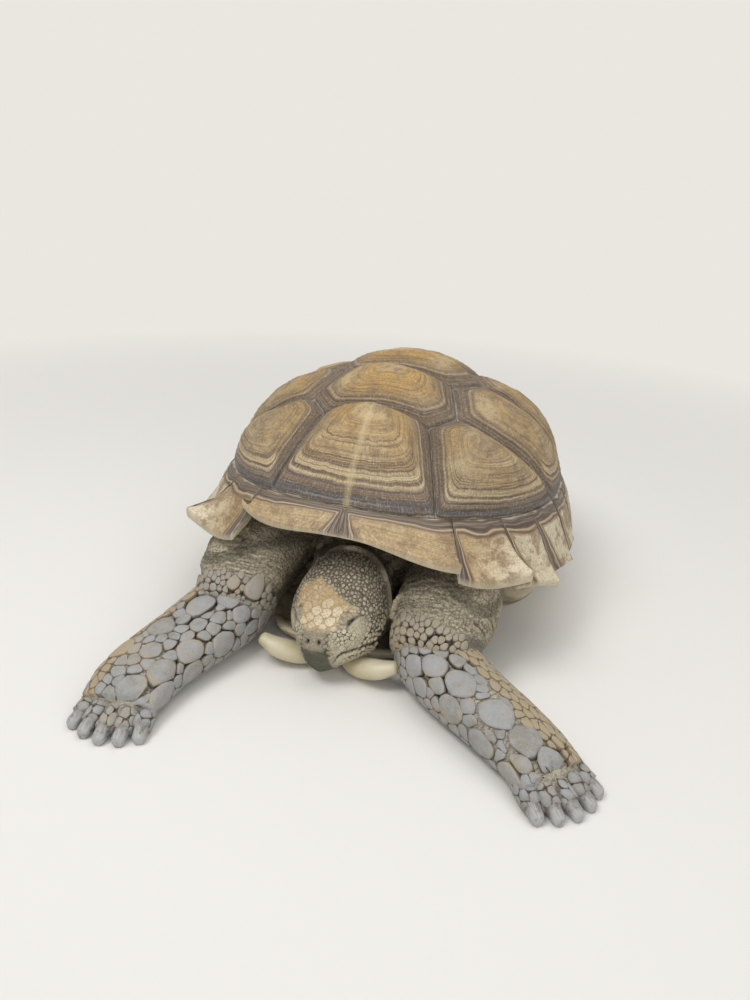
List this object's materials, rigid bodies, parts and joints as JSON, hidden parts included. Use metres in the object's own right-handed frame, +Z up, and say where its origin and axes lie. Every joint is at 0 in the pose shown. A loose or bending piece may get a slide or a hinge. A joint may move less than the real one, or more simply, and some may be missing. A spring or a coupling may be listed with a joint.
{
  "type": "sulcata tortoise life-size model",
  "caption": "Still life-size model of an adult African spurred tortoise lying on its plastron, forelegs stretched forward and head lowered between the gular horns.",
  "frame": {"origin": "middle of the plastron's flat underside, on the floor", "axes": "+Z up, the animal faces -Y, its left side is +X"},
  "size_m": [0.5709, 0.8314, 0.3199],
  "materials": {
    "carapace_plate": "worn keratin with growth rings, tan with dark bands, satin",
    "marginal_plate": "worn keratin, honey to ivory, satin",
    "plastron_horn": "smooth pale ivory keratin, satin",
    "skin": "dry granular wrinkled skin, matte",
    "limb_scales": "thick dusty grey scales with ochre margins, matte",
    "claw": "worn grey horn, satin",
    "beak": "dark greenish horn, satin",
    "eye": "moist dark eye, glossy"
  },
  "bodies": {
    "root": {"vertebral_1": "carapace_plate", "vertebral_2": "carapace_plate", "vertebral_3": "carapace_plate", "vertebral_4": "carapace_plate", "vertebral_5": "carapace_plate", "costal_left_1": "carapace_plate", "costal_right_1": "carapace_plate", "costal_left_2": "carapace_plate", "costal_right_2": "carapace_plate", "costal_left_3": "carapace_plate", "costal_right_3": "carapace_plate", "costal_left_4": "carapace_plate", "costal_right_4": "carapace_plate", "marginal_left_1": "marginal_plate", "marginal_right_1": "marginal_plate", "marginal_left_2": "marginal_plate", "marginal_right_2": "marginal_plate", "marginal_left_3": "marginal_plate", "marginal_right_3": "marginal_plate", "marginal_left_4": "marginal_plate", "marginal_right_4": "marginal_plate", "marginal_left_5": "marginal_plate", "marginal_right_5": "marginal_plate", "marginal_left_6": "marginal_plate", "marginal_right_6": "marginal_plate", "marginal_left_7": "marginal_plate", "marginal_right_7": "marginal_plate", "marginal_left_8": "marginal_plate", "marginal_right_8": "marginal_plate", "marginal_left_9": "marginal_plate", "marginal_right_9": "marginal_plate", "marginal_left_10": "marginal_plate", "marginal_right_10": "marginal_plate", "marginal_left_11": "marginal_plate", "marginal_right_11": "marginal_plate", "supracaudal": "marginal_plate", "plastron": "plastron_horn", "gular_horn_left": "plastron_horn", "gular_horn_right": "plastron_horn", "trunk": "skin", "neck": "skin", "head": "skin", "tail": "skin", "eye_left": "eye", "upper_arm_left": "skin", "forearm_left": "limb_scales", "thigh_left": "skin", "hind_foot_left": "limb_scales", "eye_right": "eye", "upper_arm_right": "skin", "forearm_right": "limb_scales", "thigh_right": "skin", "hind_foot_right": "limb_scales"}
  },
  "joints": []
}
